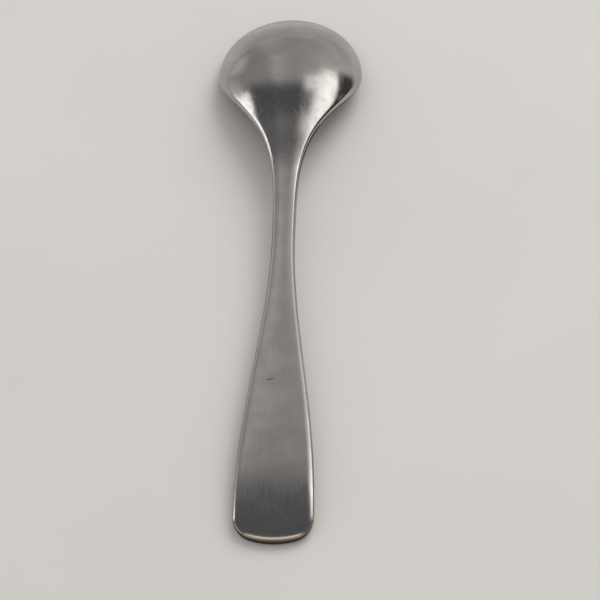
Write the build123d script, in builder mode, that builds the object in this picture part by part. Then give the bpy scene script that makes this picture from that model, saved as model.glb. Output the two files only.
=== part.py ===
from build123d import *

import os
from math import exp, pi, sin, sqrt

# Teaspoon lying face down, as it is put on a table with its back up.
# X runs across, +Y towards the tip of the bowl, +Z up, and z = 0 is the table.
# Distances along the spoon are counted from the tip of the bowl.

# Driving dimensions, in millimetres
overall_length = 138.0

# Bowl
bowl_width = 30.5
bowl_depth = 8.0
bowl_wall = 1.4
tip_to_widest = 19.7

# Flare of the bowl, as lengths over which its width, middle, crown and thin wall die away
width_flare = 17.6
middle_flare = 19.0
crown_flare = 15.5
wall_flare = 26.0

# Stem, the narrow stretch between the flare of the bowl and the swell of the handle
stem_width = 4.6
stem_thickness = 2.8
stem_crown = 0.5
tip_to_swell = 66.5

# Handle
handle_width = 15.2
handle_thickness = 2.0
handle_crown = 0.35
end_to_widest = 6.0
end_bulge = 2.2
corner_radius = 4.5

# Side view: the rim climbs to the neck, the handle falls from it and its end turns down
tip_to_neck = 41.8
rim_rise = 6.4
handle_fall = 3.7
end_turn = 2.05
neck_bend = 0.65

# Face of the stem and handle, nearly flat
face_hollow = 0.1

# Edges rounded by the polishing
back_rounding = 0.6
face_rounding = 0.25

# How far the edges at the tip and the end are worn down to the flats on which the spoon rests
tip_wear = 0.4
end_wear = 0.25

# Where the blank is divided into its named lengths
tip_to_bowl_cut = 47.0
tip_to_handle_cut = 88.0

# Shape of the curves, without units
flare_power = 2
wall_power = 4
turn_power = 12

# Working margins outside the finished surface
side_margin = 2.5
end_margin = 3.0
work_height = 30.0

# Stations along the spoon at which a section is drawn
bowl_stations = 5
flare_stations = 11
swell_stations = 10
end_stations = 3

# Derived sizes
bowl_half = bowl_width / 2
bowl_radius = (bowl_half**2 + bowl_depth**2) / (2 * bowl_depth)
tip_to_shoulder = overall_length - end_to_widest


def y_at(distance):
    """Y of a point at this distance from the tip of the bowl."""
    return overall_length / 2 - distance


def spread(start, stop, count):
    """Evenly spaced distances from start up to, but not including, stop."""
    return [start + (stop - start) * i / count for i in range(count)]


def flare(distance, length, power=flare_power):
    """Share of the bowl in a section: 1 up to the widest place, then dying away."""
    past = max(distance - tip_to_widest, 0)
    return exp(-((past / length) ** power))


def swell(distance):
    """Share of the handle in a section: 0 up to the swell, 1 from the shoulder on."""
    part = (distance - tip_to_swell) / (tip_to_shoulder - tip_to_swell)
    return sin(pi / 2 * min(max(part, 0), 1)) ** 2


def along(distance, bowl_share, in_bowl, in_stem, in_handle):
    """A size that passes from the bowl's value through the stem's to the handle's."""
    from_bowl = (in_bowl - in_stem) * bowl_share
    from_handle = (in_handle - in_stem) * swell(distance)
    return in_stem + from_bowl + from_handle


def half_width(distance):
    """Half the width of the outline behind the widest place of the bowl."""
    bowl_share = flare(distance, width_flare)
    return along(distance, bowl_share, bowl_width, stem_width, handle_width) / 2


def wall(distance):
    """Thickness of the metal at the edge."""
    bowl_share = flare(distance, wall_flare, wall_power)
    return along(distance, bowl_share, bowl_wall, stem_thickness, handle_thickness)


def crown(distance, in_stem, in_handle):
    """Rise of a section's middle over its edges."""
    bowl_share = flare(distance, crown_flare)
    return along(distance, bowl_share, bowl_depth, in_stem, in_handle)


def edge_height(distance):
    """Height of the back's edge: the rim's and handle's lines blended, and lifted along the flare."""
    rim_line = bowl_wall - tip_wear + rim_rise * distance / tip_to_neck
    part = (distance - tip_to_neck) / (overall_length - tip_to_neck)
    straight_fall = handle_fall * (1 - part)
    turned_fall = end_turn * (1 - max(part, 0) ** turn_power)
    end_height = handle_thickness - face_hollow - end_wear
    handle_line = end_height + straight_fall + turned_fall
    apart = sqrt((rim_line - handle_line) ** 2 + neck_bend**2)
    flare_lift = flare(distance, middle_flare) - flare(distance, crown_flare)
    return (rim_line + handle_line - apart) / 2 + (bowl_depth - stem_crown) * flare_lift


def section_arc(distance, edge, rise):
    """Half chord, height at the chord's ends and height in the middle of a section's arc."""
    if distance <= tip_to_widest:
        reach = bowl_half
        radius = bowl_radius
        ellipse_part = 1 - (1 - distance / tip_to_widest) ** 2
        rise = radius - sqrt(radius**2 - bowl_half**2 * ellipse_part)
    else:
        reach = half_width(distance)
        radius = (reach**2 + rise**2) / (2 * rise)
    half_chord = reach + min(side_margin, (radius - reach) / 2)
    top = edge + rise
    return half_chord, top - radius + sqrt(radius**2 - half_chord**2), top


def draw_section(half_chord, chord_height, top, floor):
    """Draws the closed line from a section's arc to a level floor."""
    ThreePointArc((-half_chord, chord_height), (0, top), (half_chord, chord_height))
    Polyline(
        (half_chord, chord_height),
        (half_chord, floor),
        (-half_chord, floor),
        (-half_chord, chord_height),
    )


flare_distances = spread(tip_to_widest, tip_to_swell, flare_stations)
swell_distances = spread(tip_to_swell, tip_to_shoulder, swell_stations)
end_distances = spread(tip_to_shoulder, overall_length + end_margin, end_stations)
side_distances = flare_distances + swell_distances + [tip_to_shoulder]
stations = spread(-end_margin, tip_to_widest, bowl_stations)
stations += flare_distances + swell_distances + end_distances
stations += [overall_length + end_margin]

# Everything below the back of the spoon
with BuildPart() as back_form:
    for distance in stations:
        with BuildSketch(Plane.XZ.offset(-y_at(distance))):
            with BuildLine():
                back_crown = crown(distance, stem_crown, handle_crown)
                arc = section_arc(distance, edge_height(distance), back_crown)
                draw_section(*arc, -work_height)
            make_face()
    loft()

# Everything above the face of the spoon
with BuildPart() as face_form:
    for distance in stations:
        with BuildSketch(Plane.XZ.offset(-y_at(distance))):
            with BuildLine():
                face_edge = edge_height(distance) - wall(distance)
                face_crown = crown(distance, face_hollow, face_hollow)
                arc = section_arc(distance, face_edge, face_crown)
                draw_section(*arc, work_height)
            make_face()
    loft()

# The whole blank: the outline seen from above, between its face and its back
with BuildPart() as blank:
    with BuildSketch(Plane.XY.offset(-work_height)) as outline:
        with BuildLine():
            EllipticalCenterArc(
                (0, y_at(tip_to_widest)), bowl_half, tip_to_widest, start_angle=0, arc_size=180
            )
            side_points = [(half_width(d), y_at(d)) for d in side_distances]
            side = Spline(*side_points, tangents=((0, -1), (0, -1)), tangent_scalars=(1, 1))
            cheek = Line(side @ 1, (handle_width / 2, y_at(overall_length - end_bulge)))
            mirror(side, about=Plane.YZ)
            mirror(cheek, about=Plane.YZ)
            ThreePointArc(
                cheek @ 1,
                (0, y_at(overall_length)),
                (-handle_width / 2, y_at(overall_length - end_bulge)),
            )
        make_face()
        fillet(outline.vertices().group_by(Axis.Y)[0], corner_radius)
    extrude(amount=2 * work_height)
    add(back_form.part, mode=Mode.INTERSECT)
    add(face_form.part, mode=Mode.INTERSECT)
    back_side = blank.faces().sort_by(SortBy.AREA)[-2:].sort_by(Axis.Z)[-1]
    fillet(back_side.edges(), back_rounding)
    face_side = blank.faces().sort_by(SortBy.AREA)[-2:].sort_by(Axis.Z)[0]
    fillet(face_side.edges(), face_rounding)
    split(bisect_by=Plane.XY, keep=Keep.TOP)

bowl_cut = Plane.XZ.offset(-y_at(tip_to_bowl_cut))
handle_cut = Plane.XZ.offset(-y_at(tip_to_handle_cut))

# Bowl, from its tip to the end of its flare
with BuildPart() as bowl:
    add(blank.part)
    split(bisect_by=bowl_cut, keep=Keep.BOTTOM)

# Neck, with the narrow stem
with BuildPart() as neck:
    add(blank.part)
    split(bisect_by=bowl_cut, keep=Keep.TOP)
    split(bisect_by=handle_cut, keep=Keep.BOTTOM)

# Handle, to its turned-down end
with BuildPart() as handle:
    add(blank.part)
    split(bisect_by=handle_cut, keep=Keep.TOP)

os.makedirs("parts", exist_ok=True)
bowl.part.label = "bowl"
export_step(bowl.part, "parts/bowl.step")
neck.part.label = "neck"
export_step(neck.part, "parts/neck.step")
handle.part.label = "handle"
export_step(handle.part, "parts/handle.step")
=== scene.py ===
"""Looks of a steel teaspoon that lies face down on a pale table.

The spoon's three lengths are modelled again as fine quad meshes on the same curves as the solids, so that
the polished metal reflects smoothly, and each stands for its node of the frame. The spoon's curves are in
millimetres, the finishes, table and lamps in metres, and every mesh is written in metres.
"""

import logging
import math
from dataclasses import dataclass, field
from enum import Enum

import bmesh
import bpy
from mathutils import Matrix, Vector


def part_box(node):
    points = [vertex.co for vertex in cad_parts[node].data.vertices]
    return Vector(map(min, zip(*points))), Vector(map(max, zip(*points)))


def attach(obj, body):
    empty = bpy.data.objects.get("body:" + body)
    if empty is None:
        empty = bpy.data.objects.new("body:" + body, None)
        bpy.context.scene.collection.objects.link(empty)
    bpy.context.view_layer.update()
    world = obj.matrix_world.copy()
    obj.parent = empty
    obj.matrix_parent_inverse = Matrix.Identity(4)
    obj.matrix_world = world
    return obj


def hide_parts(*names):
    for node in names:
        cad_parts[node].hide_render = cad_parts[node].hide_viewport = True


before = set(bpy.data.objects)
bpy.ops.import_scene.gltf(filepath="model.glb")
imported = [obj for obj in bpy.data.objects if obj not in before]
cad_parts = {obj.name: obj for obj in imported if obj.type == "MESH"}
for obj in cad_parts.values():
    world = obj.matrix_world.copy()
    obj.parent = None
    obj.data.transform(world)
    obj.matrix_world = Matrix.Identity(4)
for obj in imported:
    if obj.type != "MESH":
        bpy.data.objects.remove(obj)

MM = 0.001
# Metres within which two points become one
MERGE_DISTANCE = 1e-7
# Millimetres over which the slope of the outline is taken
SLOPE_STEP = 0.01
# Mean value of the noise
NOISE_MIDDLE = 0.5
BODY = "root"
RIM_LAYER = "rim_wear"

Socket = bpy.types.NodeSocket
Pair = tuple[float, float]
Place = tuple[float, float, float]
Colour = tuple[float, float, float]

logging.basicConfig(level=logging.INFO, format="%(message)s")
log = logging.getLogger("teaspoon")


class Stretch(Enum):
    """The named lengths of the spoon, with the name of the node that each one stands for."""

    BOWL = "bowl"
    NECK = "neck"
    HANDLE = "handle"


def limit(value: float) -> float:
    """Returns value, kept between 0 and 1."""
    return min(max(value, 0.0), 1.0)


@dataclass(frozen=True)
class SpokePoint:
    """One place on the outline, and the place on the middle line that its section runs in from.

    Attributes:
        across: distance of the outline from the middle line.
        along: distance of the outline point from the bowl's tip.
        spine: distance of the section's inner end from the bowl's tip.
        slant: how much longer the section is than the shortest way in from the edge.
    """

    across: float
    along: float
    spine: float
    slant: float = 1.0


@dataclass
class SpoonForm:
    """The curves of the spoon, in millimetres, with distances counted from the bowl's tip.

    A flare is the length over which a size of the bowl dies away. A rounding is given as how far it reaches
    in from the edge, and how far down or up.
    """

    overall_length: float
    bowl_width: float
    handle_width: float
    bowl_depth: float = 8.0
    bowl_wall: float = 1.4
    tip_to_widest: float = 19.7
    width_flare: float = 17.6
    middle_flare: float = 19.0
    crown_flare: float = 14.5
    wall_flare: float = 26.0
    stem_width: float = 4.6
    stem_thickness: float = 2.8
    stem_crown: float = 0.5
    tip_to_swell: float = 66.5
    handle_thickness: float = 2.0
    handle_crown: float = 0.35
    end_to_widest: float = 6.0
    end_bulge: float = 2.2
    corner_radius: float = 4.5
    tip_to_neck: float = 41.8
    rim_rise: float = 6.4
    handle_fall: float = 3.7
    end_turn: float = 2.05
    neck_bend: float = 0.65
    face_hollow: float = 0.1
    tip_wear: float = 0.4
    end_wear: float = 0.25
    tip_face_rounding: Pair = (0.25, 0.25)
    bowl_face_rounding: Pair = (0.7, 0.75)
    stem_face_rounding: Pair = (0.9, 1.3)
    handle_face_rounding: Pair = (0.9, 1.2)
    tip_rounding_length: float = 14.0
    bowl_back_rounding: Pair = (0.6, 0.6)
    stem_back_rounding: Pair = (0.7, 0.6)
    handle_back_rounding: Pair = (1.4, 0.65)
    flare_power: float = 2
    wall_power: float = 4
    turn_power: float = 12

    @property
    def bowl_half(self) -> float:
        """Half the width of the bowl."""
        return self.bowl_width / 2

    @property
    def bowl_radius(self) -> float:
        """Radius of the bowl's sections from its tip to its widest place."""
        return (self.bowl_half**2 + self.bowl_depth**2) / (2 * self.bowl_depth)

    @property
    def shoulder(self) -> float:
        """Distance of the handle's widest place from the tip."""
        return self.overall_length - self.end_to_widest

    def flare(self, distance: float, length: float, power: float) -> float:
        """Returns the bowl's share in a section: 1 up to the widest place, then dying away."""
        past = max(distance - self.tip_to_widest, 0)
        return math.exp(-((past / length) ** power))

    def swell(self, distance: float) -> float:
        """Returns the handle's share in a section: 0 up to the swell, 1 from the shoulder on."""
        part = (distance - self.tip_to_swell) / (self.shoulder - self.tip_to_swell)
        return math.sin(math.pi / 2 * limit(part)) ** 2

    def along(self, distance: float, share: float, bowl: float, stem: float, handle: float) -> float:
        """Blends a size from the bowl's value through the stem's to the handle's.

        Args:
            distance: distance from the tip.
            share: the bowl's share at that distance.
            bowl: the size in the bowl.
            stem: the size in the stem.
            handle: the size in the handle.

        Returns:
            The size at that distance.
        """
        return stem + (bowl - stem) * share + (handle - stem) * self.swell(distance)

    def half_width(self, distance: float) -> float:
        """Returns half the width of the outline behind the bowl's widest place."""
        share = self.flare(distance, self.width_flare, self.flare_power)
        return self.along(distance, share, self.bowl_width, self.stem_width, self.handle_width) / 2

    def wall(self, distance: float) -> float:
        """Returns the thickness of the metal at the edge."""
        share = self.flare(distance, self.wall_flare, self.wall_power)
        return self.along(distance, share, self.bowl_wall, self.stem_thickness, self.handle_thickness)

    def crown(self, distance: float, stem: float, handle: float) -> float:
        """Returns how far a section's middle rises over its edges."""
        share = self.flare(distance, self.crown_flare, self.flare_power)
        return self.along(distance, share, self.bowl_depth, stem, handle)

    def back_rounding(self, distance: float) -> Pair:
        """Size of the back's rounded edge.

        Args:
            distance: distance from the tip.

        Returns:
            How far it reaches in, and down.
        """
        share = self.flare(distance, self.width_flare, self.flare_power)
        sizes = zip(self.bowl_back_rounding, self.stem_back_rounding, self.handle_back_rounding)
        reach, drop = (self.along(distance, share, *size) for size in sizes)
        return reach, drop

    def face_rounding(self, distance: float) -> Pair:
        """Size of the face's rounded edge, which is smallest at the tip.

        Args:
            distance: distance from the tip.

        Returns:
            How far it reaches in, and up.
        """
        share = self.flare(distance, self.width_flare, self.flare_power)
        past_tip = limit(distance / self.tip_rounding_length)
        sizes = []
        for at_tip, bowl, stem, handle in zip(
            self.tip_face_rounding,
            self.bowl_face_rounding,
            self.stem_face_rounding,
            self.handle_face_rounding,
        ):
            in_bowl = at_tip + (bowl - at_tip) * past_tip
            sizes.append(self.along(distance, share, in_bowl, stem, handle))
        return sizes[0], sizes[1]

    def edge_height(self, distance: float) -> float:
        """Height of the back's edge: the rim's and handle's lines blended, and lifted along the flare.

        Args:
            distance: distance from the tip.

        Returns:
            The height there.
        """
        rim_line = self.bowl_wall - self.tip_wear + self.rim_rise * distance / self.tip_to_neck
        part = (distance - self.tip_to_neck) / (self.overall_length - self.tip_to_neck)
        straight_fall = self.handle_fall * (1 - part)
        turned_fall = self.end_turn * (1 - max(part, 0) ** self.turn_power)
        end_height = self.handle_thickness - self.face_hollow - self.end_wear
        handle_line = end_height + straight_fall + turned_fall
        apart = math.hypot(rim_line - handle_line, self.neck_bend)
        middle_share = self.flare(distance, self.middle_flare, self.flare_power)
        crown_share = self.flare(distance, self.crown_flare, self.flare_power)
        lift = (self.bowl_depth - self.stem_crown) * (middle_share - crown_share)
        return (rim_line + handle_line - apart) / 2 + lift

    def section_height(self, across: float, distance: float, edge: float, rise: float) -> float:
        """Height of a section's arc.

        Args:
            across: distance from the middle line.
            distance: distance of the section from the tip.
            edge: height of the section's edge.
            rise: rise of its middle, used behind the widest place.

        Returns:
            The height of the arc there.
        """
        if distance <= self.tip_to_widest:
            radius = self.bowl_radius
            part = 1 - (1 - distance / self.tip_to_widest) ** 2
            rise = radius - math.sqrt(radius**2 - self.bowl_half**2 * part)
        else:
            radius = (self.half_width(distance) ** 2 + rise**2) / (2 * rise)
        return edge + rise - radius + math.sqrt(max(radius**2 - across**2, 0))

    def back_height(self, across: float, distance: float) -> float:
        """Height of the back.

        Args:
            across: distance from the middle line.
            distance: distance from the tip.

        Returns:
            The height there.
        """
        rise = self.crown(distance, self.stem_crown, self.handle_crown)
        return self.section_height(across, distance, self.edge_height(distance), rise)

    def face_height(self, across: float, distance: float) -> float:
        """Height of the face, which looks down at the table.

        Args:
            across: distance from the middle line.
            distance: distance from the tip.

        Returns:
            The height there.
        """
        rise = self.crown(distance, self.face_hollow, self.face_hollow)
        edge = self.edge_height(distance) - self.wall(distance)
        return self.section_height(across, distance, edge, rise)

    def tip_spokes(self, count: int) -> list[SpokePoint]:
        """Spokes square to the bowl's round front.

        Args:
            count: count of steps.

        Returns:
            The spokes from the tip to the widest place.
        """
        long, wide = self.tip_to_widest, self.bowl_half
        spokes = []
        for i in range(count + 1):
            angle = math.pi / 2 * (1 - i / count)
            lift = math.sin(angle)
            across = 0.0 if i == 0 else wide * math.cos(angle)
            spine = long - (long**2 - wide**2) / long * lift
            spokes.append(SpokePoint(across, long - long * lift, spine))
        return spokes

    def side_spokes(self, start: float, stop: float, count: int) -> list[SpokePoint]:
        """Spokes straight across the spoon, between two distances from the tip.

        Args:
            start: distance of the first spoke.
            stop: distance of the last spoke.
            count: count of steps between them.

        Returns:
            The spokes, with both ends.
        """
        spokes = []
        for i in range(count + 1):
            place = start + (stop - start) * i / count
            across = self.half_width(place)
            slope = (self.half_width(place + SLOPE_STEP) - across) / SLOPE_STEP
            spokes.append(SpokePoint(across, place, place, math.hypot(1, slope)))
        return spokes

    def end_spokes(self, cheek: int, corner: int, arc: int) -> list[SpokePoint]:
        """Spokes round the handle's end, from the shoulder to the middle of the end.

        Args:
            cheek: count of steps along the straight cheek.
            corner: count of steps round the corner.
            arc: count of steps along the end's flat arc.

        Returns:
            The spokes after the shoulder's own.
        """
        half, radius = self.handle_width / 2, self.corner_radius
        end_radius = (half**2 + self.end_bulge**2) / (2 * self.end_bulge)
        arc_centre = self.overall_length - end_radius
        corner_across = half - radius
        corner_along = arc_centre + math.sqrt((end_radius - radius) ** 2 - corner_across**2)
        lean = math.atan2(corner_along - arc_centre, corner_across)
        start = self.shoulder
        spokes = []
        for i in range(1, cheek + 1):
            spokes.append(SpokePoint(half, start + (corner_along - start) * i / cheek, start))
        for i in range(1, corner + 1):
            angle = lean * i / corner
            across = corner_across + radius * math.cos(angle)
            spokes.append(SpokePoint(across, corner_along + radius * math.sin(angle), start))
        for i in range(1, arc + 1):
            angle = lean + (math.pi / 2 - lean) * i / arc
            across = 0.0 if i == arc else end_radius * math.cos(angle)
            spokes.append(SpokePoint(across, arc_centre + end_radius * math.sin(angle), start))
        return spokes


@dataclass
class SectionSteps:
    """How many steps each part of a half section has, from the middle of the back to that of the face."""

    back: int = 26
    back_rounding: int = 7
    wall: int = 2
    face_rounding: int = 7
    face: int = 20

    @property
    def total(self) -> int:
        """Count of steps in the whole half section."""
        return self.back + self.back_rounding + self.wall + self.face_rounding + self.face


@dataclass
class SpoonLength:
    """One named length of the spoon, made as half a skin on a grid and mirrored.

    Attributes:
        form: the curves of the whole spoon.
        stretch: which length this is.
        spokes: the outline points of its sections, in order.
        steps: how many steps each part of a section has.
        back_limit: the most of a section that the back's rounded edge may take up.
        face_limit: the most of a section that the face's rounded edge may take up.
    """

    form: SpoonForm
    stretch: Stretch
    spokes: list[SpokePoint]
    steps: SectionSteps = field(default_factory=SectionSteps)
    back_limit: float = 0.8
    face_limit: float = 0.5

    def section(self, spoke: SpokePoint) -> list[tuple[Vector, float]]:
        """Places along one half section.

        Args:
            spoke: the section's outline point and inner end.

        Returns:
            A point in metres and its share of rim wear, from the back's middle to the face's.
        """
        form, steps = self.form, self.steps
        length = math.hypot(spoke.across, spoke.along - spoke.spine)
        reach, drop = form.back_rounding(spoke.along)
        reach = min(reach * spoke.slant, self.back_limit * length)
        face_reach, face_drop = form.face_rounding(spoke.along)
        face_reach = min(face_reach * spoke.slant, self.face_limit * length)

        def plan(inset: float) -> Pair:
            """Returns the place in plan at this distance in from the outline."""
            part = 1 - inset / length
            return spoke.across * part, spoke.spine + (spoke.along - spoke.spine) * part

        def point(inset: float, height: float) -> Vector:
            """Returns the finished point, no lower than the table."""
            across, distance = plan(inset)
            return Vector((across, form.overall_length / 2 - distance, max(height, 0))) * MM

        places = []
        for i in range(steps.back):
            inset = length - (length - reach) * i / steps.back
            places.append((point(inset, form.back_height(*plan(inset))), 0.0))
        for i in range(steps.back_rounding + 1):
            angle = math.pi / 2 * i / steps.back_rounding
            inset = reach * (1 - math.sin(angle))
            height = form.back_height(*plan(inset)) - drop * (1 - math.cos(angle))
            places.append((point(inset, height), math.sin(angle)))
        wall_top = form.back_height(*plan(0)) - drop
        wall_foot = form.face_height(*plan(0)) + face_drop
        for i in range(1, steps.wall):
            height = wall_top + (wall_foot - wall_top) * i / steps.wall
            places.append((point(0, height), 1.0))
        for i in range(steps.face_rounding + 1):
            angle = math.pi / 2 * i / steps.face_rounding
            inset = face_reach * (1 - math.cos(angle))
            height = form.face_height(*plan(inset)) + face_drop * (1 - math.sin(angle))
            places.append((point(inset, height), math.cos(angle)))
        for i in range(1, steps.face + 1):
            inset = face_reach + (length - face_reach) * i / steps.face
            places.append((point(inset, form.face_height(*plan(inset))), 0.0))
        return places

    def build(self) -> bpy.types.Object:
        """Makes the piece.

        Returns:
            The new object, closed, at the origin, with its place in its mesh.
        """
        sections = [self.section(spoke) for spoke in self.spokes]
        bm = bmesh.new()
        rim = bm.verts.layers.float.new(RIM_LAYER)
        bmesh.ops.create_grid(bm, x_segments=len(sections) - 1, y_segments=self.steps.total, size=1.0)
        for vert in bm.verts:
            row = round((vert.co.x + 1) / 2 * (len(sections) - 1))
            column = round((vert.co.y + 1) / 2 * self.steps.total)
            vert.co, vert[rim] = sections[row][column]
        skin = bm.verts[:] + bm.edges[:] + bm.faces[:]
        bmesh.ops.mirror(bm, geom=skin, matrix=Matrix.Identity(4), merge_dist=MERGE_DISTANCE, axis="X")
        bmesh.ops.remove_doubles(bm, verts=bm.verts[:], dist=MERGE_DISTANCE)
        for face in bm.faces:
            face.smooth = True
        cut_edges = [edge for edge in bm.edges if edge.is_boundary]
        for edge in cut_edges:
            edge.smooth = False
        for cap in bmesh.ops.holes_fill(bm, edges=cut_edges, sides=0)["faces"]:
            cap.smooth = False
        bmesh.ops.recalc_face_normals(bm, faces=bm.faces[:])
        name = self.stretch.value + "_steel"
        mesh = bpy.data.meshes.new(name)
        bm.to_mesh(mesh)
        bm.free()
        piece = bpy.data.objects.new(name, mesh)
        bpy.context.scene.collection.objects.link(piece)
        return piece


class ShaderTree:
    """Adds nodes to a node tree and links them, so that a finish reads from top to bottom."""

    def __init__(self, tree: bpy.types.NodeTree) -> None:
        """Empties the tree."""
        self.tree = tree
        tree.nodes.clear()

    def add(self, kind: str, **settings: object) -> bpy.types.Node:
        """Adds one node.

        Args:
            kind: the node's type.
            settings: properties of the node, or values of its inputs by their names with _ for a space.

        Returns:
            The new node.
        """
        node = self.tree.nodes.new(kind)
        for key, value in settings.items():
            if hasattr(node, key):
                setattr(node, key, value)
            else:
                node.inputs[key.replace("_", " ")].default_value = value
        return node

    def link(self, source: Socket, target: Socket) -> None:
        """Links an output to an input."""
        self.tree.links.new(source, target)

    def math(self, operation: str, first: object, second: object) -> Socket:
        """Works out one sum.

        Args:
            operation: the sum's name.
            first: a socket or a number.
            second: a socket or a number.

        Returns:
            The result's socket.
        """
        node = self.add("ShaderNodeMath", operation=operation)
        for place, value in enumerate((first, second)):
            if isinstance(value, Socket):
                self.link(value, node.inputs[place])
            else:
                node.inputs[place].default_value = value
        return node.outputs["Value"]

    def ramp(self, value: Socket, stops: list[tuple[float, Colour]]) -> Socket:
        """Turns a number into a colour.

        Args:
            value: the number, from 0 to 1.
            stops: places and their colours, in order.

        Returns:
            The colour's socket.
        """
        node = self.add("ShaderNodeValToRGB")
        points = node.color_ramp.elements
        for place, colour in stops[1:-1]:
            points.new(place).color = (*colour, 1)
        points[0].position, points[0].color = stops[0][0], (*stops[0][1], 1)
        points[-1].position, points[-1].color = stops[-1][0], (*stops[-1][1], 1)
        self.link(value, node.inputs["Fac"])
        return node.outputs["Color"]

    def mix(self, share: Socket, first: object, second: object) -> Socket:
        """Blends two colours.

        Args:
            share: the second colour's share.
            first: a socket or a colour.
            second: a socket or a colour.

        Returns:
            The blended colour's socket.
        """
        node = self.add("ShaderNodeMixRGB")
        self.link(share, node.inputs["Fac"])
        for name, value in (("Color1", first), ("Color2", second)):
            if isinstance(value, Socket):
                self.link(value, node.inputs[name])
            else:
                node.inputs[name].default_value = (*value, 1)
        return node.outputs["Color"]

    def remap(self, value: Socket, old: Pair, new: Pair) -> Socket:
        """Stretches a number from one range to another, smoothly and within limits.

        Args:
            value: the number.
            old: the range it comes in.
            new: the range it goes to.

        Returns:
            The result's socket.
        """
        node = self.add("ShaderNodeMapRange", interpolation_type="SMOOTHSTEP")
        self.link(value, node.inputs["Value"])
        for name, number in zip(("From Min", "From Max", "To Min", "To Max"), (*old, *new)):
            node.inputs[name].default_value = number
        return node.outputs["Result"]

    def part(self, vector: Socket) -> bpy.types.Node:
        """Parts a vector along the axes.

        Args:
            vector: the vector's socket.

        Returns:
            A node with the outputs X, Y and Z.
        """
        node = self.add("ShaderNodeSeparateXYZ")
        self.link(vector, node.inputs["Vector"])
        return node

    def noise(self, place: Socket, scale: float, detail: float = 4.0, roughness: float = 0.55) -> Socket:
        """Adds soft noise.

        Args:
            place: the coordinates' socket.
            scale: how many waves there are to a unit of the coordinates.
            detail: how many finer layers are added.
            roughness: the strength of each finer layer.

        Returns:
            The noise's socket.
        """
        node = self.add("ShaderNodeTexNoise", Scale=scale, Detail=detail, Roughness=roughness)
        self.link(place, node.inputs["Vector"])
        return node.outputs["Fac"]


@dataclass(frozen=True)
class Polish:
    """How one part of the steel is polished.

    Attributes:
        colour: the steel's colour.
        smudge_colour: its colour under a film of handling.
        sheen: roughness of the cleanest metal.
        smudge_sheen: roughness of the most handled metal.
        brush: strength of the brush lines.
    """

    colour: Colour
    smudge_colour: Colour
    sheen: float
    smudge_sheen: float
    brush: float


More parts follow.
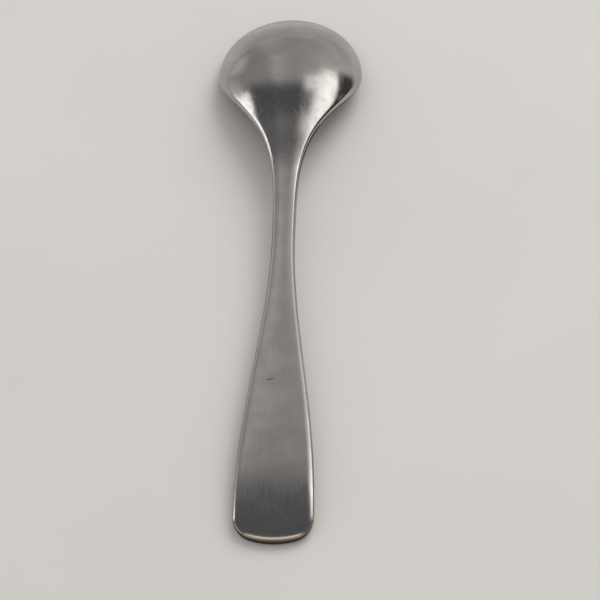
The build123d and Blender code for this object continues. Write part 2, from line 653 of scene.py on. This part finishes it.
@dataclass(frozen=True)
class SteelFinish:
    """Stainless steel with brush lines along the spoon, smudges, hairline scratches and brighter edges.

    Attributes:
        name: the material's name.
        polish: the polish of the length itself.
        stem_polish: the polish that it passes into towards the stem.
        stem_reach: where along the spoon the stem's polish is full, and where it has died away, in metres.
        tip_sheen: roughness added by wear at the tip of the bowl.
        tip_reach: where along the spoon that wear starts, and where it is full, in metres.
        edge_sheen: roughness taken off along the worn edges.
        least_sheen: roughness below which the metal never goes.
        nick: where a short dark scratch lies, across and along the spoon in metres, if there is one.
        nick_size: half its length and half its width, in metres.
        nick_turn: its angle, in degrees.
        nick_fade: where it starts to fade and has faded, as shares of its half sizes.
        nick_share: how far its middle takes on its colour.
        nick_colour: its colour.
        smudge_size: size of the smudges, in metres.
        smudge_span: the noise that is clean, and the noise that is all smudge.
        brush_pitch: width of a brush line, in metres.
        brush_run: length of a brush line, in metres.
        brush_span: the noise where the lines take off most roughness, and where they add most.
        brush_sheen: the most roughness that they take off or add.
        scratch: strength of the hairline scratches.
        scratch_pitch: width of the waves along which they run, in metres.
        scratch_run: length of those waves, in metres.
        scratch_turns: angles of the two sets of scratches, in degrees.
        scratch_width: half the width of a scratch, as a part of the waves' noise.
        bit_size: width and length of the patches in which a bit of a scratch shows, in metres.
        bit_turn: angle of those patches from the scratches, in degrees.
        bit_span: the noise at which a scratch starts to show, and shows in full.
        line_depth: depth of the deepest line, in metres.
    """

    name: str
    polish: Polish
    stem_polish: Polish
    stem_reach: Pair = (20 * MM, 36 * MM)
    tip_sheen: float = 0.0
    tip_reach: Pair = (44 * MM, 62 * MM)
    edge_sheen: float = 0.04
    least_sheen: float = 0.08
    nick: Pair | None = None
    nick_size: Pair = (0.95 * MM, 0.2 * MM)
    nick_turn: float = 12.0
    nick_fade: Pair = (0.4, 1.1)
    nick_share: float = 0.8
    nick_colour: Colour = (0.13, 0.125, 0.12)
    smudge_size: float = 7 * MM
    smudge_span: Pair = (0.36, 0.68)
    brush_pitch: float = 0.3 * MM
    brush_run: float = 18 * MM
    brush_span: Pair = (0.3, 0.7)
    brush_sheen: float = 0.03
    scratch: float = 0.2
    scratch_pitch: float = 1.6 * MM
    scratch_run: float = 22 * MM
    scratch_turns: Pair = (24.0, -37.0)
    scratch_width: float = 0.014
    bit_size: Pair = (3 * MM, 5 * MM)
    bit_turn: float = 40.0
    bit_span: Pair = (0.54, 0.64)
    line_depth: float = 0.02 * MM

    def streaks(self, tree: ShaderTree, pitch: float, run: float, turn: float) -> Socket:
        """Noise drawn out into streaks.

        Args:
            tree: the tree to add to.
            pitch: width of a streak in metres.
            run: length of a streak in metres.
            turn: angle of the streaks from the spoon's length, in degrees.

        Returns:
            The noise's socket.
        """
        place = tree.add("ShaderNodeTexCoord")
        lay = tree.add("ShaderNodeMapping", vector_type="TEXTURE")
        lay.inputs["Rotation"].default_value = (0, 0, math.radians(turn))
        lay.inputs["Scale"].default_value = (pitch, run, pitch)
        tree.link(place.outputs["Object"], lay.inputs["Vector"])
        return tree.noise(lay.outputs["Vector"], scale=1.0, detail=2.0, roughness=0.5)

    def hairlines(self, tree: ShaderTree, turn: float) -> Socket:
        """Thin broken scratches.

        Args:
            tree: the tree to add to.
            turn: angle of the scratches from the spoon's length, in degrees.

        Returns:
            A socket that is 1 in a scratch and 0 beside it.
        """
        waves = self.streaks(tree, self.scratch_pitch, self.scratch_run, turn)
        off_line = tree.math("ABSOLUTE", tree.math("SUBTRACT", waves, NOISE_MIDDLE), 0)
        line = tree.remap(off_line, (0.0, self.scratch_width), (1, 0))
        bits = self.streaks(tree, *self.bit_size, turn + self.bit_turn)
        return tree.math("MULTIPLY", line, tree.remap(bits, self.bit_span, (0, 1)))

    def nick_mark(self, tree: ShaderTree, place: bpy.types.Node) -> Socket:
        """The short dark scratch.

        Args:
            tree: the tree to add to.
            place: the coordinates' node.

        Returns:
            A socket that is highest in the scratch and 0 outside it.
        """
        lay = tree.add("ShaderNodeMapping", vector_type="TEXTURE")
        lay.inputs["Location"].default_value = (*self.nick, 0)
        lay.inputs["Rotation"].default_value = (0, 0, math.radians(self.nick_turn))
        lay.inputs["Scale"].default_value = (*self.nick_size, 1)
        tree.link(place.outputs["Object"], lay.inputs["Vector"])
        reach = tree.add("ShaderNodeVectorMath", operation="LENGTH")
        tree.link(lay.outputs["Vector"], reach.inputs[0])
        return tree.remap(reach.outputs["Value"], self.nick_fade, (self.nick_share, 0))

    def make(self) -> bpy.types.Material:
        """Makes the material.

        Returns:
            The new material.
        """
        material = bpy.data.materials.new(self.name)
        material.use_nodes = True
        tree = ShaderTree(material.node_tree)
        out = tree.add("ShaderNodeOutputMaterial")
        steel = tree.add("ShaderNodeBsdfPrincipled", Metallic=1.0)
        tree.link(steel.outputs["BSDF"], out.inputs["Surface"])
        here, stem = self.polish, self.stem_polish

        place = tree.add("ShaderNodeTexCoord")
        along = tree.part(place.outputs["Object"]).outputs["Y"]
        to_stem = tree.remap(along, self.stem_reach, (1, 0))
        to_tip = tree.remap(along, self.tip_reach, (0, self.tip_sheen))
        smudges = tree.noise(place.outputs["Object"], 1 / self.smudge_size)
        film = tree.remap(smudges, self.smudge_span, (0, 1))
        brush = self.streaks(tree, self.brush_pitch, self.brush_run, 0)
        scratches = tree.math("MAXIMUM", *(self.hairlines(tree, turn) for turn in self.scratch_turns))
        wear = tree.add("ShaderNodeAttribute", attribute_name=RIM_LAYER).outputs["Fac"]

        clean = tree.mix(to_stem, here.colour, stem.colour)
        handled = tree.mix(to_stem, here.smudge_colour, stem.smudge_colour)
        colour = tree.mix(film, clean, handled)
        if self.nick:
            colour = tree.mix(self.nick_mark(tree, place), colour, self.nick_colour)
        tree.link(colour, steel.inputs["Base Color"])

        clean_sheen = tree.remap(to_stem, (0, 1), (here.sheen, stem.sheen))
        film_sheen = tree.remap(to_stem, (0, 1), (here.smudge_sheen, stem.smudge_sheen))
        added = tree.math("MULTIPLY", film, tree.math("SUBTRACT", film_sheen, clean_sheen))
        sheen = tree.math("ADD", tree.math("ADD", clean_sheen, added), to_tip)
        lines = tree.remap(brush, self.brush_span, (-self.brush_sheen, self.brush_sheen))
        lined = tree.math("ADD", sheen, lines)
        worn = tree.math("SUBTRACT", lined, tree.math("MULTIPLY", wear, self.edge_sheen))
        tree.link(tree.math("MAXIMUM", worn, self.least_sheen), steel.inputs["Roughness"])

        depth = tree.remap(to_stem, (0, 1), (here.brush, stem.brush))
        grain = tree.math("MULTIPLY", brush, depth)
        relief = tree.math("SUBTRACT", grain, tree.math("MULTIPLY", scratches, self.scratch))
        bump = tree.add("ShaderNodeBump", Strength=1.0, Distance=self.line_depth)
        tree.link(relief, bump.inputs["Height"])
        tree.link(bump.outputs["Normal"], steel.inputs["Normal"])
        return material


BOWL_POLISH = Polish(
    colour=(0.62, 0.605, 0.59),
    smudge_colour=(0.51, 0.498, 0.48),
    sheen=0.12,
    smudge_sheen=0.18,
    brush=0.03,
)
HANDLE_POLISH = Polish(
    colour=(0.70, 0.675, 0.66),
    smudge_colour=(0.64, 0.615, 0.60),
    sheen=0.19,
    smudge_sheen=0.27,
    brush=0.08,
)
BOWL_FINISH = SteelFinish("bowl_steel_polished", BOWL_POLISH, HANDLE_POLISH, tip_sheen=0.09)
HANDLE_FINISH = SteelFinish(
    "handle_steel_satin", HANDLE_POLISH, HANDLE_POLISH, edge_sheen=0.0, nick=(-1.5 * MM, -34.1 * MM)
)


@dataclass
class Teaspoon:
    """The whole spoon: its curves, its three lengths and their steel.

    Attributes:
        bowl_cut: distance from the tip to the cut between bowl and neck.
        handle_cut: distance from the tip to the cut between neck and handle.
        form: the curves.
        tip_count: count of steps from the tip to the bowl's widest place.
        flare_count: count of steps from there to the bowl's cut.
        neck_count: count of steps along the neck.
        handle_count: count of steps along the handle up to its shoulder.
        end_counts: counts of steps along the cheek, round the corner and along the end's arc.
    """

    bowl_cut: float
    handle_cut: float
    form: SpoonForm
    tip_count: int = 56
    flare_count: int = 44
    neck_count: int = 52
    handle_count: int = 52
    end_counts: tuple[int, int, int] = (6, 18, 14)

    @classmethod
    def from_frame(cls) -> "Teaspoon":
        """Reads the spoon's overall sizes and cuts from the frame.

        Returns:
            The spoon.
        """
        bowl_low, bowl_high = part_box(Stretch.BOWL.value)
        handle_low, handle_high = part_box(Stretch.HANDLE.value)
        form = SpoonForm(
            overall_length=round((bowl_high.y - handle_low.y) / MM, 1),
            bowl_width=round((bowl_high.x - bowl_low.x) / MM, 2),
            handle_width=round((handle_high.x - handle_low.x) / MM, 2),
        )
        tip = form.overall_length / 2
        return cls(round(tip - bowl_low.y / MM, 2), round(tip - handle_high.y / MM, 2), form)

    def lengths(self) -> list[SpoonLength]:
        """Divides the spoon into its three lengths.

        Returns:
            The lengths, each with its own run of spokes.
        """
        form = self.form
        bowl = form.tip_spokes(self.tip_count)[:-1]
        bowl += form.side_spokes(form.tip_to_widest, self.bowl_cut, self.flare_count)
        neck = form.side_spokes(self.bowl_cut, self.handle_cut, self.neck_count)
        handle = form.side_spokes(self.handle_cut, form.shoulder, self.handle_count)
        handle += form.end_spokes(*self.end_counts)
        return [
            SpoonLength(form, Stretch.BOWL, bowl),
            SpoonLength(form, Stretch.NECK, neck),
            SpoonLength(form, Stretch.HANDLE, handle),
        ]

    def build(self) -> list[bpy.types.Object]:
        """Makes, dresses and declares every length.

        Returns:
            The finished pieces.
        """
        bowl_steel, handle_steel = BOWL_FINISH.make(), HANDLE_FINISH.make()
        pieces = []
        for length in self.lengths():
            piece = length.build()
            in_bowl = length.stretch is Stretch.BOWL
            piece.data.materials.append(bowl_steel if in_bowl else handle_steel)
            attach(piece, BODY)
            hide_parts(length.stretch.value)
            pieces.append(piece)
        return pieces


@dataclass
class Table:
    """The pale table top, with a painted reflection: the colour that the steel mirrors is painted darker
    than the table that the eye sees.

    The mirrored table is lightest beside the bowl, darker beside the handle and ahead of the tip, with
    painted shade for the spoon's shadow on the handle's left, and darkest at two places, at the flare's
    right and at the handle's end, where painted shade stands in for the contact shadow.

    Attributes:
        size: length of its sides, in metres.
        colour: its lighter paint.
        shade_colour: its darker paint, in faint clouds.
        matt: roughness of the paint.
        cloud_scale: how many clouds there are to a metre.
        cloud_span: the noise that is all shade, and the noise that has none.
        mirrored_left: its mirrored colour on the left of the handle, darker as painted shade for the
            spoon's shadow there.
        mirrored_right: its mirrored colour on the right of the handle.
        side_reach: where across the spoon the left colour ends, and the right one is full, in metres.
        mirrored_by_bowl: its mirrored colour beside the bowl.
        bowl_reach: where along the spoon that colour starts, and is full, in metres.
        mirrored_ahead: its mirrored colour ahead of the tip.
        ahead: the middle of that place, in metres.
        ahead_reach: how far from the middle it is full, and has died away, in metres.
        far_reach: where along the spoon it is found all over, from its start to full, in metres.
        mirrored_shade: its mirrored colour at the darkest places, a painted contact shadow.
        shade_reach: how far from their middles they are full, and have died away, in metres.
        shaded_places: the middles of the painted contact shadows, at the flare's right and in front of the
            handle's end, in metres.
    """

    size: float = 4.0
    colour: Colour = (0.69, 0.675, 0.66)
    shade_colour: Colour = (0.66, 0.645, 0.63)
    matt: float = 0.8
    cloud_scale: float = 14.0
    cloud_span: Pair = (0.3, 0.7)
    mirrored_left: Colour = (0.24, 0.234, 0.223)
    mirrored_right: Colour = (0.36, 0.35, 0.335)
    side_reach: Pair = (-4 * MM, 4 * MM)
    mirrored_by_bowl: Colour = (0.53, 0.515, 0.50)
    bowl_reach: Pair = (10 * MM, 45 * MM)
    mirrored_ahead: Colour = (0.38, 0.37, 0.355)
    ahead: Place = (0, 140 * MM, 0)
    ahead_reach: Pair = (45 * MM, 68 * MM)
    far_reach: Pair = (140 * MM, 190 * MM)
    mirrored_shade: Colour = (0.08, 0.06, 0.05)
    shade_reach: Pair = (9.5 * MM, 14 * MM)
    shaded_places: tuple[Place, ...] = ((15 * MM, 35 * MM, 0), (0, -71 * MM, 0))

    def finish(self) -> bpy.types.Material:
        """Makes the table's matt, faintly clouded paint.

        Returns:
            The new material.
        """
        material = bpy.data.materials.new("table_paint")
        material.use_nodes = True
        tree = ShaderTree(material.node_tree)
        out = tree.add("ShaderNodeOutputMaterial")
        paint = tree.add("ShaderNodeBsdfPrincipled", Roughness=self.matt)
        tree.link(paint.outputs["BSDF"], out.inputs["Surface"])
        place = tree.add("ShaderNodeTexCoord").outputs["Object"]
        clouded, clear = self.cloud_span
        stops = [(clouded, self.shade_colour), (clear, self.colour)]
        painted = tree.ramp(tree.noise(place, self.cloud_scale), stops)
        # Painted reflection: only glossy rays see the darker mirrored colours, and the camera sees the
        # clouded paint
        glossy = tree.add("ShaderNodeLightPath").outputs["Is Glossy Ray"]
        tree.link(tree.mix(glossy, painted, self.mirrored(tree, place)), paint.inputs["Base Color"])
        return material

    def mirrored(self, tree: ShaderTree, place: Socket) -> Socket:
        """Colour of the table as the steel mirrors it: painted darker than the table, with painted shade on
        the handle's left and painted contact shadow at the shaded places.

        Args:
            tree: the tree to add to.
            place: the coordinates' socket.

        Returns:
            The colour's socket.
        """
        parts = tree.part(place)
        # Painted shade: the mirrored table is darker on the handle's left, where the spoon's shadow falls
        to_right = tree.remap(parts.outputs["X"], self.side_reach, (0, 1))
        to_bowl = tree.remap(parts.outputs["Y"], self.bowl_reach, (0, 1))
        by_handle = tree.mix(to_right, self.mirrored_left, self.mirrored_right)
        colour = tree.mix(to_bowl, by_handle, self.mirrored_by_bowl)
        close_ahead = tree.remap(self.away(tree, place, self.ahead), self.ahead_reach, (1, 0))
        far_ahead = tree.remap(parts.outputs["Y"], self.far_reach, (0, 1))
        to_ahead = tree.math("MAXIMUM", close_ahead, far_ahead)
        colour = tree.mix(to_ahead, colour, self.mirrored_ahead)
        # Painted contact shadow: the mirrored table goes dark round each shaded place
        for middle in self.shaded_places:
            near = tree.remap(self.away(tree, place, middle), self.shade_reach, (1, 0))
            colour = tree.mix(near, colour, self.mirrored_shade)
        return colour

    @staticmethod
    def away(tree: ShaderTree, place: Socket, middle: Place) -> Socket:
        """Distance of the shaded point from a place on the table.

        Args:
            tree: the tree to add to.
            place: the coordinates' socket.
            middle: the place, in metres.

        Returns:
            The distance's socket.
        """
        distance = tree.add("ShaderNodeVectorMath", operation="DISTANCE")
        tree.link(place, distance.inputs[0])
        distance.inputs[1].default_value = middle
        return distance.outputs["Value"]

    def build(self) -> bpy.types.Object:
        """Makes the table top.

        Returns:
            The staged floor.
        """
        bm = bmesh.new()
        bmesh.ops.create_grid(bm, x_segments=4, y_segments=4, size=self.size / 2)
        mesh = bpy.data.meshes.new("table_top")
        bm.to_mesh(mesh)
        bm.free()
        table = bpy.data.objects.new("table_top", mesh)
        bpy.context.scene.collection.objects.link(table)
        mesh.materials.append(self.finish())
        return table


def bearing(azimuth: float, elevation: float) -> Vector:
    """Returns the direction at an azimuth from +Y towards +X and an elevation, both in degrees."""
    turn, lift = math.radians(azimuth), math.radians(elevation)
    return Vector((math.sin(turn) * math.cos(lift), math.cos(turn) * math.cos(lift), math.sin(lift)))


@dataclass(frozen=True)
class SoftLamp:
    """A rectangular soft light that faces the spoon from a bearing.

    Attributes:
        name: its name.
        azimuth: its bearing from +Y towards +X, in degrees.
        elevation: its height over the table, in degrees.
        width: its width, in metres.
        height: its height, in metres.
        glow: brightness of its surface.
        colour: its colour.
        mirrored: whether the steel shows it.
        distance: how far it is from the spoon, in metres.
    """

    name: str
    azimuth: float
    elevation: float
    width: float
    height: float
    glow: float
    colour: Colour = (1.0, 0.98, 0.95)
    mirrored: bool = True
    distance: float = 1.2

    def build(self) -> bpy.types.Object:
        """Makes the lamp, as bright as its glow says whatever its size.

        Returns:
            The lamp.
        """
        light = bpy.data.lights.new(self.name, "AREA")
        light.shape = "RECTANGLE"
        light.size, light.size_y = self.width, self.height
        light.energy = self.glow * math.pi * self.width * self.height
        light.color = self.colour
        lamp = bpy.data.objects.new(self.name, light)
        lamp.visible_glossy = self.mirrored
        towards = bearing(self.azimuth, self.elevation)
        lamp.location = towards * self.distance
        lamp.rotation_euler = towards.to_track_quat("Z", "Y").to_euler()
        bpy.context.scene.collection.objects.link(lamp)
        return lamp


@dataclass(frozen=True)
class Patch:
    """A soft-edged part of the room that the steel mirrors.

    Attributes:
        colour: its brightness and colour.
        edges: for every edge, an axis and the direction's part along it where the patch starts and is full.
    """

    colour: Colour
    edges: tuple[tuple[str, float, float], ...]

    def share(self, tree: ShaderTree, parts: bpy.types.Node) -> Socket:
        """How far a direction looks into the patch.

        Args:
            tree: the tree to add to.
            parts: the node that parts the direction along the axes.

        Returns:
            A socket that is 1 in the patch and 0 outside it.
        """
        share = None
        for axis, start, full in self.edges:
            ends = (0, 1) if start < full else (1, 0)
            edge = tree.remap(parts.outputs[axis], (min(start, full), max(start, full)), ends)
            share = edge if share is None else tree.math("MULTIPLY", share, edge)
        return share


@dataclass
class Room:
    """The plain room round the table: lighter in front of the spoon, dim over it, with soft windows.

    Attributes:
        horizon: colour of the front wall at the table's level.
        front: colour of the front wall higher up.
        climb: heights over which the one passes into the other, as parts of a direction.
        dim: colour of the ceiling and of what lies behind.
        dim_edge: parts along Y of the directions between which the ceiling passes into the front wall.
        seen: colour that the camera sees beyond the table.
        ambient: light that falls on what isn't mirrored.
        tints: places across the front wall, from 0 on the left to 1 on the right, and its brightness there.
        patches: soft-edged parts of the room, each laid over the ones before it.
        lamps: the lamps.
    """

    horizon: Colour = (0.345, 0.336, 0.322)
    front: Colour = (0.345, 0.335, 0.32)
    climb: Pair = (0.0, 0.35)
    dim: Colour = (0.074, 0.077, 0.084)
    dim_edge: Pair = (0.40, 0.47)
    seen: Colour = (0.62, 0.60, 0.57)
    ambient: Colour = (0.655, 0.645, 0.635)
    tints: tuple[Pair, ...] = (
        (0.10, 0.86),
        (0.275, 0.84),
        (0.375, 1.30),
        (0.45, 1.08),
        (0.50, 1.0),
        (0.56, 0.96),
        (0.65, 1.12),
        (0.75, 1.5),
    )
    patches: tuple[Patch, ...] = (
        # Low wall behind
        Patch((0.40, 0.39, 0.375), (("Y", 0.12, -0.06), ("Z", 0.48, 0.32))),
        # Low wall on the left, in front and then at the side
        Patch((0.58, 0.565, 0.54), (("X", -0.48, -0.70), ("Z", 0.42, 0.14), ("Y", 0.58, 0.66))),
        Patch((0.50, 0.487, 0.465), (("X", -0.77, -0.86), ("Z", 0.42, 0.14), ("Y", 0.39, 0.43))),
        # Three windows high on the right, from the middle outwards
        Patch(
            (1.50, 1.47, 1.43),
            (("X", 0.20, 0.50), ("Z", 0.30, 0.42), ("Y", 0.38, 0.42), ("Y", 0.56, 0.43)),
        ),
        Patch(
            (1.45, 1.42, 1.38),
            (("X", 0.45, 0.67), ("Z", 0.30, 0.42), ("Y", 0.30, 0.34), ("Y", 0.66, 0.56)),
        ),
        Patch(
            (1.62, 1.59, 1.55),
            (("X", 0.62, 0.76), ("Z", 0.30, 0.42), ("Y", 0.26, 0.31), ("Y", 0.58, 0.48)),
        ),
        # Window at the far right, and the dark wall below the windows
        Patch((1.50, 1.47, 1.43), (("X", 0.80, 0.88), ("Z", 0.30, 0.40), ("Y", 0.15, 0.22))),
        Patch((0.05, 0.048, 0.048), (("X", 0.66, 0.80), ("Z", 0.42, 0.30), ("Y", 0.72, 0.58))),
        # Window on the left
        Patch(
            (1.75, 1.72, 1.68),
            (
                ("X", -0.76, -0.83),
                ("Z", 0.0, 0.05),
                ("Z", 0.60, 0.50),
                ("Y", 0.405, 0.375),
                ("Y", 0.18, 0.25),
            ),
        ),
        # Warm light high up behind, with brown and then dark below it
        Patch(
            (0.95, 0.80, 0.59),
            (("Y", -0.48, -0.58), ("Z", 0.48, 0.58), ("X", -0.66, -0.50), ("X", 0.66, 0.50)),
        ),
        Patch(
            (0.20, 0.13, 0.085),
            (("Y", -0.74, -0.84), ("Z", 0.18, 0.28), ("X", -0.58, -0.42), ("X", 0.58, 0.42)),
        ),
        Patch((0.06, 0.05, 0.045), (("Y", -0.95, -0.99), ("X", -0.32, -0.22), ("X", 0.32, 0.22))),
    )
    lamps: tuple[SoftLamp, ...] = (
        SoftLamp(
            "table_light", azimuth=30, elevation=42, width=0.8, height=0.8, glow=3.75, mirrored=False
        ),
    )

    def mirrored_colour(self, tree: ShaderTree) -> Socket:
        """Colour of the room as the steel mirrors it.

        Args:
            tree: the world's tree.

        Returns:
            The colour's socket.
        """
        parts = tree.part(tree.add("ShaderNodeTexCoord").outputs["Generated"])
        x, y, z = (parts.outputs[axis] for axis in "XYZ")
        wall = tree.mix(tree.remap(z, self.climb, (0, 1)), self.horizon, self.front)
        from_left = tree.math("MULTIPLY", tree.math("ADD", x, 1), 0.5)
        tint = tree.ramp(from_left, [(place, (share,) * 3) for place, share in self.tints])
        lit = tree.add("ShaderNodeVectorMath", operation="MULTIPLY")
        tree.link(wall, lit.inputs[0])
        tree.link(tint, lit.inputs[1])
        colour = tree.mix(tree.remap(y, self.dim_edge, (0, 1)), self.dim, lit.outputs["Vector"])
        for patch in self.patches:
            colour = tree.mix(patch.share(tree, parts), colour, patch.colour)
        return colour

    def build(self) -> list[bpy.types.Object]:
        """Makes the world and the lamps.

        Returns:
            The lamps.
        """
        world = bpy.data.worlds.new("room")
        world.use_nodes = True
        tree = ShaderTree(world.node_tree)
        out = tree.add("ShaderNodeOutputWorld")
        mirrored = tree.add("ShaderNodeBackground", Strength=1.0)
        seen = tree.add("ShaderNodeBackground", Strength=1.0, Color=(*self.seen, 1))
        ambient = tree.add("ShaderNodeBackground", Strength=1.0, Color=(*self.ambient, 1))
        by_gloss, by_camera = tree.add("ShaderNodeMixShader"), tree.add("ShaderNodeMixShader")
        path = tree.add("ShaderNodeLightPath")
        tree.link(self.mirrored_colour(tree), mirrored.inputs["Color"])
        tree.link(path.outputs["Is Glossy Ray"], by_gloss.inputs["Fac"])
        tree.link(ambient.outputs["Background"], by_gloss.inputs[1])
        tree.link(mirrored.outputs["Background"], by_gloss.inputs[2])
        tree.link(path.outputs["Is Camera Ray"], by_camera.inputs["Fac"])
        tree.link(by_gloss.outputs["Shader"], by_camera.inputs[1])
        tree.link(seen.outputs["Background"], by_camera.inputs[2])
        tree.link(by_camera.outputs["Shader"], out.inputs["Surface"])
        bpy.context.scene.world = world
        return [lamp.build() for lamp in self.lamps]


@dataclass
class PhotoCamera:
    """The camera, fitted to the outline of the spoon in its picture.

    Attributes:
        elevation: its height over the table, in degrees.
        azimuth: its turn about the upright, in degrees.
        roll: its turn about its own line of sight, in degrees.
        distance: how far it is from its target, in millimetres.
        target: the place it looks at, in millimetres.
        focal_pixels: its focal length, in pixels of the picture.
        image_pixels: width of the picture, in pixels.
        sensor: width of its sensor, in millimetres.
        clip: the nearest and farthest that it sees, in metres.
    """

    elevation: float = 50.5
    azimuth: float = 3.019
    roll: float = -1.947
    distance: float = 500.0
    target: Place = (3.721, -13.972, 5.0)
    focal_pixels: float = 2529.8
    image_pixels: float = 600.0
    sensor: float = 36.0
    clip: Pair = (0.02, 50.0)

    def build(self) -> bpy.types.Object:
        """Makes the camera and sets it as the scene's.

        Returns:
            The camera.
        """
        data = bpy.data.cameras.new("photo_camera")
        data.sensor_width = self.sensor
        data.lens = self.focal_pixels / self.image_pixels * self.sensor
        data.clip_start, data.clip_end = self.clip
        lift, turn = math.radians(self.elevation), math.radians(self.azimuth)
        back = Vector((math.sin(turn) * math.cos(lift), -math.cos(turn) * math.cos(lift), math.sin(lift)))
        right = Vector((math.cos(turn), math.sin(turn), 0))
        axes = Matrix((right, back.cross(right), back)).transposed()
        camera = bpy.data.objects.new("photo_camera", data)
        place = Matrix.Translation((Vector(self.target) + back * self.distance) * MM)
        camera.matrix_world = place @ axes.to_4x4() @ Matrix.Rotation(math.radians(self.roll), 4, "Z")
        bpy.context.scene.collection.objects.link(camera)
        bpy.context.scene.camera = camera
        return camera


def main() -> None:
    """Builds the camera, the spoon, its table and its light."""
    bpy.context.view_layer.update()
    bpy.context.scene.view_settings.view_transform = "Standard"
    camera = PhotoCamera().build()
    log.info("%s: lens %.1f mm", camera.name, camera.data.lens)
    for piece in Teaspoon.from_frame().build():
        log.info("%s: %d faces", piece.name, len(piece.data.polygons))
    table = Table().build()
    log.info("%s: staged", table.name)
    for lamp in Room().build():
        log.info("%s: %.2f W", lamp.name, lamp.data.energy)
    bpy.context.view_layer.update()


if __name__ == "__main__":
    main()
